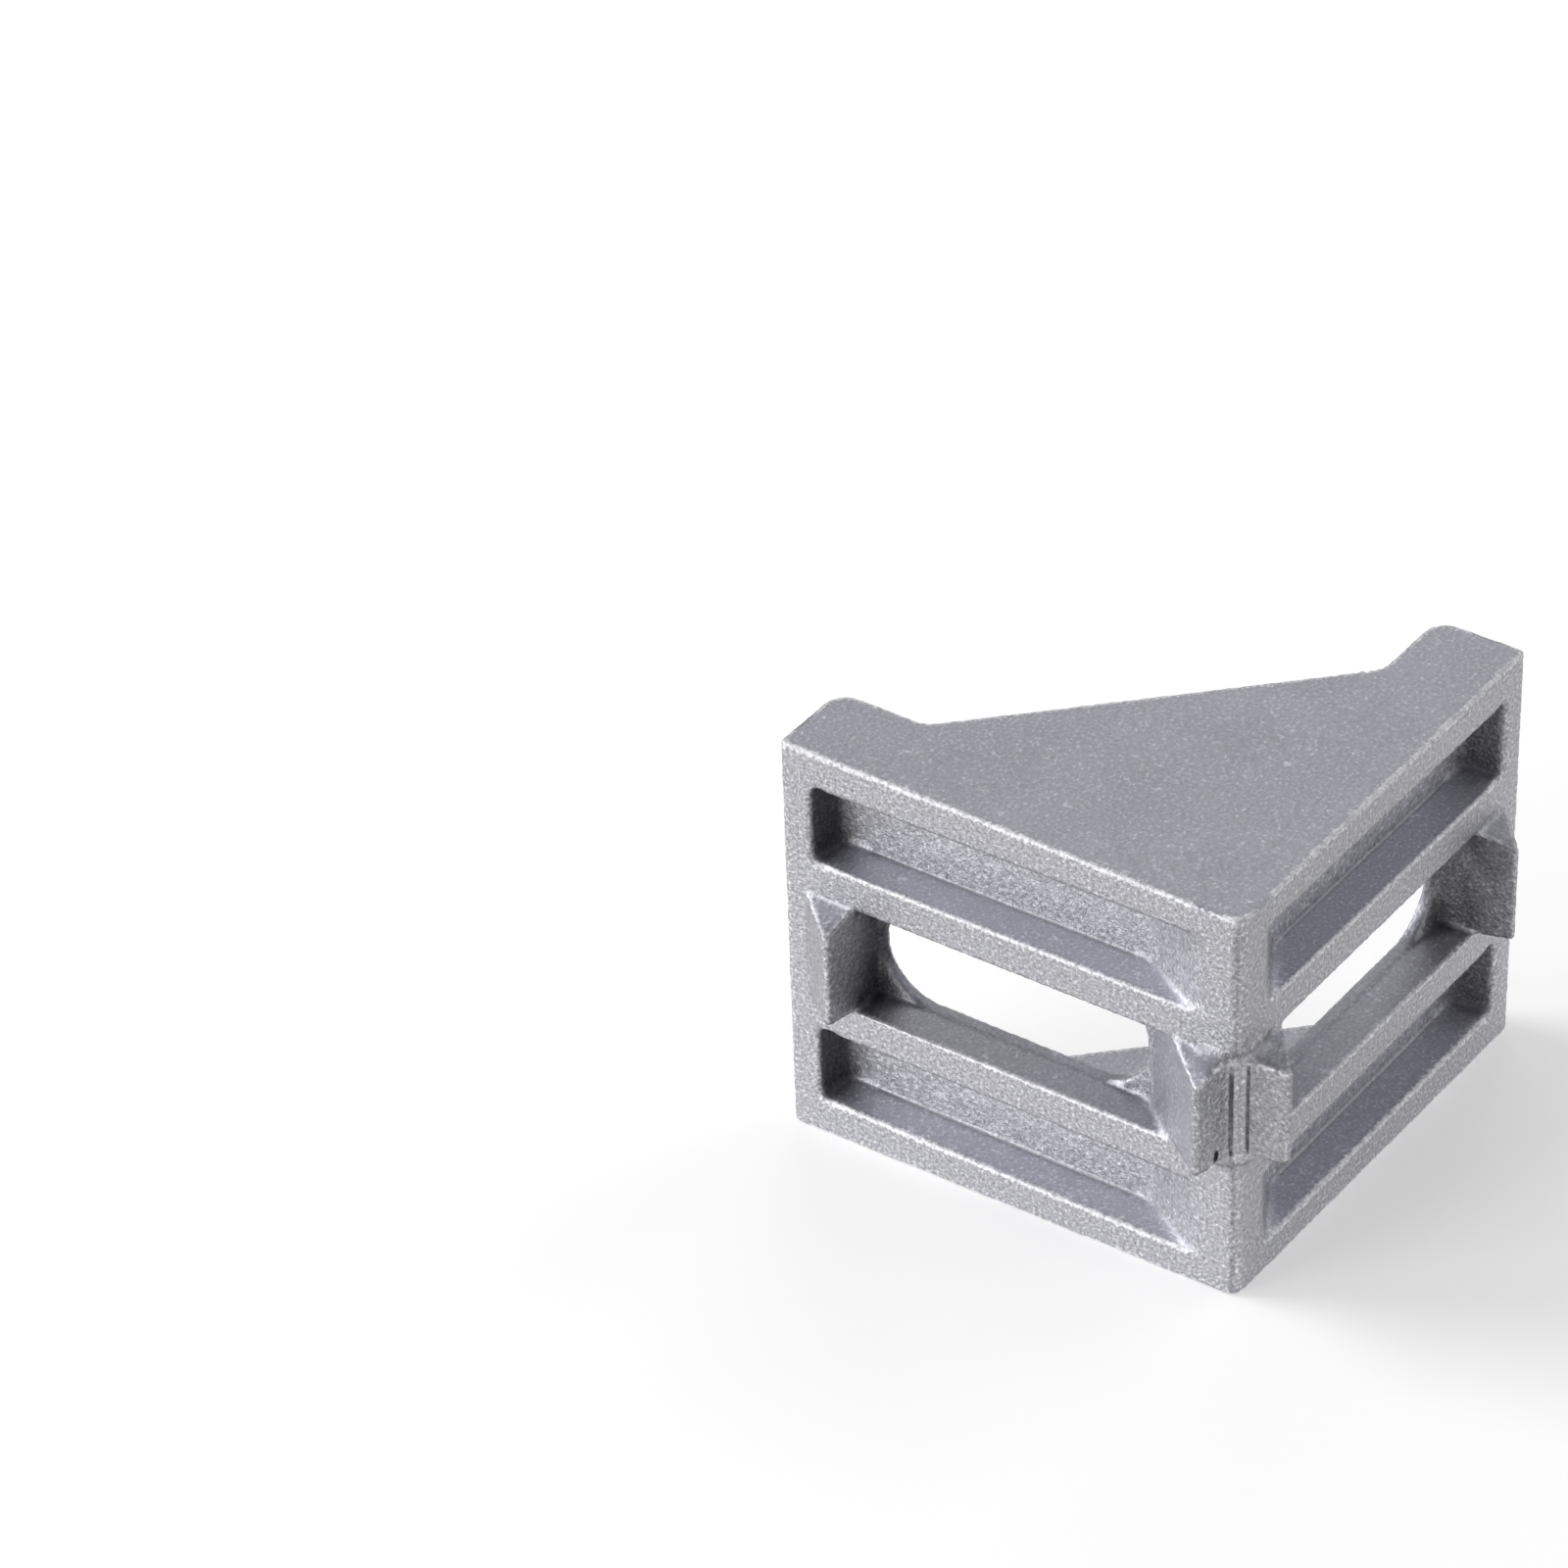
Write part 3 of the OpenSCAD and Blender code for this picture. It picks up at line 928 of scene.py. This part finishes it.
def add_floor(studio):
    """The pale floor, which glows a little and has no shine."""
    bpy.ops.object.select_all(action="DESELECT")
    bpy.ops.mesh.primitive_plane_add(size=FLOOR_SIZE)
    floor = bpy.context.active_object
    floor.name = "floor"
    floor.location = (LEG_LENGTH / 2, LEG_LENGTH / 2, -BODY_WIDTH / 2 - FLOOR_GAP)
    sideways = math.sin(GUSSET_DRAFT) / math.sqrt(2)
    normal = Vector((sideways, sideways, math.cos(GUSSET_DRAFT)))
    floor.rotation_euler = normal.to_track_quat("Z", "Y").to_euler()
    material = bpy.data.materials.new("pale_floor")
    material.use_nodes = True
    surface = material.node_tree.nodes["Principled BSDF"].inputs
    surface["Base Color"].default_value = (*studio.floor, 1)
    surface["Roughness"].default_value = 0.9
    surface["Specular IOR Level"].default_value = 0.0
    surface["Emission Color"].default_value = (1, 1, 1, 1)
    surface["Emission Strength"].default_value = studio.floor_glow
    floor.data.materials.append(material)
    return floor


def add_area_light(name, place, target, size, power):
    """A square soft light at place that faces target."""
    data = bpy.data.lights.new(name, "AREA")
    data.shape = "SQUARE"
    data.size = size
    data.energy = power
    obj = bpy.data.objects.new(name, data)
    bpy.context.scene.collection.objects.link(obj)
    obj.location = place
    obj.rotation_euler = (Vector(target) - Vector(place)).to_track_quat("-Z", "Y").to_euler()


def add_camera(scene, lens):
    """The camera that looks at the bracket as the photograph does."""
    data = bpy.data.cameras.new("camera")
    data.lens = lens
    data.sensor_width = SENSOR_WIDTH
    data.clip_start = 0.01
    data.clip_end = 20.0
    camera = bpy.data.objects.new("camera", data)
    scene.collection.objects.link(camera)
    camera.location = CAMERA_PLACE
    camera.rotation_euler = [math.radians(angle) for angle in CAMERA_TURN]
    scene.camera = camera


class BRACKET_OT_studio(bpy.types.Operator):
    """Set up the pale floor, the soft lights and the camera"""

    bl_idname = "bracket.studio"
    bl_label = "Studio"

    def execute(self, context):
        scene = context.scene
        studio = scene.bracket_studio
        floor = add_floor(studio)
        floor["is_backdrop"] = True
        middle = (CAD_LOW + CAD_HIGH) / 2
        for name, direction in LIGHTS.items():
            place = middle + Vector(direction).normalized()
            add_area_light(name, place, middle, studio.light_size, getattr(studio, name))
        world = bpy.data.worlds.new("pale_room")
        world.use_nodes = True
        background = world.node_tree.nodes["Background"]
        background.inputs["Color"].default_value = (1, 1, 1, 1)
        background.inputs["Strength"].default_value = studio.room
        scene.world = world
        scene.view_settings.view_transform = "Standard"
        add_camera(scene, studio.lens)
        return {"FINISHED"}


class BRACKET_PT_panel(bpy.types.Panel):
    """Lists the bracket's piece and its studio."""

    bl_idname = "BRACKET_PT_panel"
    bl_label = "Corner bracket"
    bl_space_type = "VIEW_3D"
    bl_region_type = "UI"
    bl_category = "Bracket"

    def draw(self, context):
        for title, group, operator in (
            ("Casting", context.scene.bracket_shape, "bracket.casting"),
            ("Finish", context.scene.bracket_finish, None),
            ("Studio", context.scene.bracket_studio, "bracket.studio"),
        ):
            box = self.layout.box()
            box.label(text=title)
            for name in group.__annotations__:
                box.prop(group, name)
            if operator:
                box.operator(operator)


CLASSES = (CastShape, CastFinish, Studio, BRACKET_OT_casting, BRACKET_OT_studio, BRACKET_PT_panel)


def register():
    """Registers the classes and hangs their settings on the scene."""
    for cls in CLASSES:
        bpy.utils.register_class(cls)
    bpy.types.Scene.bracket_shape = bpy.props.PointerProperty(type=CastShape)
    bpy.types.Scene.bracket_finish = bpy.props.PointerProperty(type=CastFinish)
    bpy.types.Scene.bracket_studio = bpy.props.PointerProperty(type=Studio)


def unregister():
    """Takes the settings and the classes away again."""
    del bpy.types.Scene.bracket_studio
    del bpy.types.Scene.bracket_finish
    del bpy.types.Scene.bracket_shape
    for cls in reversed(CLASSES):
        bpy.utils.unregister_class(cls)


def main():
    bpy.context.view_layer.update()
    register()
    bpy.ops.bracket.casting()
    bpy.ops.bracket.studio()
    bpy.context.view_layer.update()


if __name__ == "__main__":
    main()
